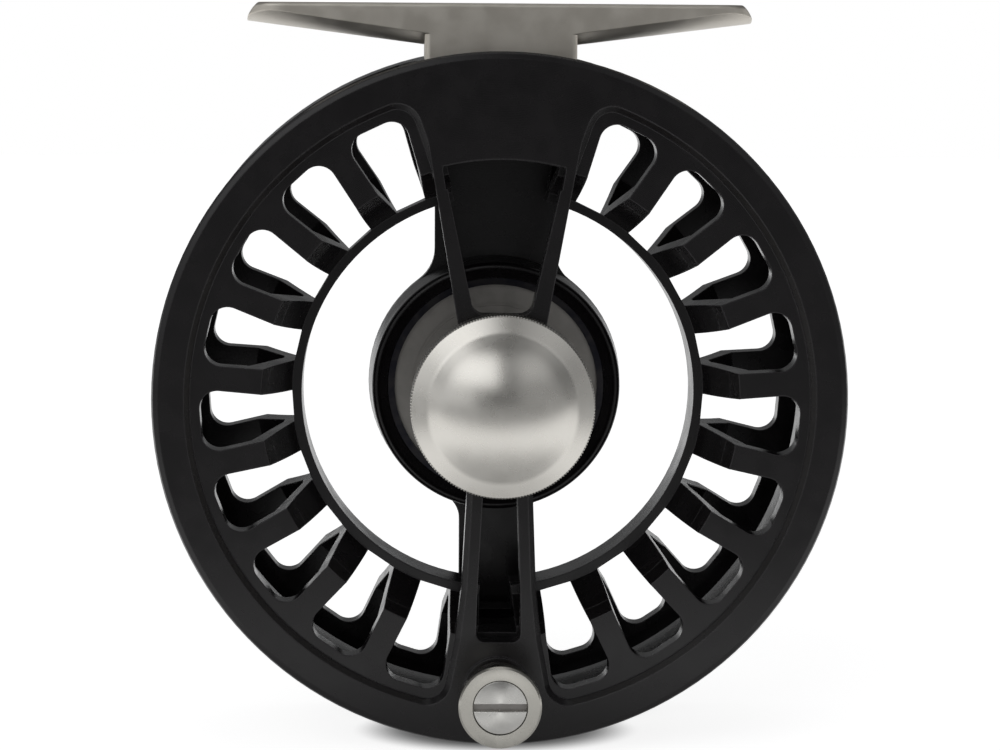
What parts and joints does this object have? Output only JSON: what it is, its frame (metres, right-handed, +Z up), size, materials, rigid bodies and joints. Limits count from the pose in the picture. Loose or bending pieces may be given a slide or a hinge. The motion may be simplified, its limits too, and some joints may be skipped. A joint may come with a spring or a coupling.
{
  "type": "fly reel",
  "caption": "Large-arbor fly reel: caged frame with a T foot, spoked palming-rim spool, tapered crank handle and domed drag knob.",
  "frame": {"origin": "centre of the flat top face of the foot, where a rod reel seat bears", "axes": "+Z up out of the foot towards the rod, +X along the foot to the right as seen from the handle side, +Y from the handle side to the back of the frame; the spool turns about Y, 52.4 mm below the origin"},
  "size_m": [0.0934, 0.0435, 0.0991],
  "materials": {
    "black_anodise": "satin black anodised, machined edges broken",
    "titanium_grey": "fine bead-blasted, grey anodised",
    "silver_blast": "bead-blasted, clear anodised, knurled edge",
    "silver_turned": "fine turned, clear anodised",
    "cover_grey": "matte grey anodised, faced on a lathe",
    "steel_turned": "turned stainless steel",
    "spring_steel": "hardened and tempered",
    "brass": "turned",
    "carbon": "woven carbon friction disc, greased",
    "acetal": "natural acetal, machined",
    "seal_rubber": "nitrile, lightly greased"
  },
  "bodies": {
    "frame": {"frame_back": "black_anodise", "frame_front_ring": "black_anodise", "frame_posts": "black_anodise", "reel_foot": "titanium_grey", "foot_screws": "steel_turned", "drag_housing": "black_anodise", "drag_cover": "cover_grey", "cover_snap_ring": "spring_steel", "cover_seal": "seal_rubber", "steel_plates": "steel_turned", "spindle": "steel_turned", "spindle_bolt": "steel_turned", "pawl_pin": "steel_turned", "click_spring": "spring_steel"},
    "spool": {"spool_face": "black_anodise", "spool_arbor": "black_anodise", "spool_rear_flange": "black_anodise", "drag_sleeve": "steel_turned", "front_bearing": "steel_turned", "rear_bearing": "steel_turned", "bearing_circlip": "spring_steel", "one_way_clutch": "steel_turned", "carbon_discs": "carbon", "click_gear": "brass", "handle_screw": "steel_turned"},
    "handle": {"handle_grip": "silver_turned", "handle_bush": "acetal"},
    "thrust_carriage": {"thrust_washer": "steel_turned", "spring_washers": "spring_steel"},
    "knob": {"drag_knob": "silver_blast", "knob_insert": "brass", "knob_o_ring": "seal_rubber"},
    "pawl": {"click_pawl": "spring_steel"}
  },
  "joints": [
    {"name": "spool_spin", "type": "hinge", "parent": "frame", "child": "spool", "pos_m": [0, 0, -0.0524], "axis": [0, 1, 0], "continuous": true},
    {"name": "handle_spin", "type": "hinge", "parent": "spool", "child": "handle", "pos_m": [-0.00028, -0.02, -0.0909], "axis": [0, 1, 0], "continuous": true},
    {"name": "thrust_slide", "type": "slide", "parent": "frame", "child": "thrust_carriage", "axis": [0, 1, 0], "range_m": [-0.00041, 0.00028]},
    {"name": "drag_knob_turn", "type": "hinge", "parent": "thrust_carriage", "child": "knob", "pos_m": [0, -0.02, -0.0524], "axis": [0, 1, 0], "range_deg": [-180, 120]},
    {"name": "click_pawl_rock", "type": "hinge", "parent": "frame", "child": "pawl", "pos_m": [-0.012, 0.0095, -0.0524], "axis": [0, 1, 0], "range_deg": [-10, 10], "stiffness_Nm_per_rad": 0.0002}
  ],
  "couplings": [
    {"joint": "thrust_slide", "follows": "drag_knob_turn", "m_per_rad": 0.00012732}
  ]
}
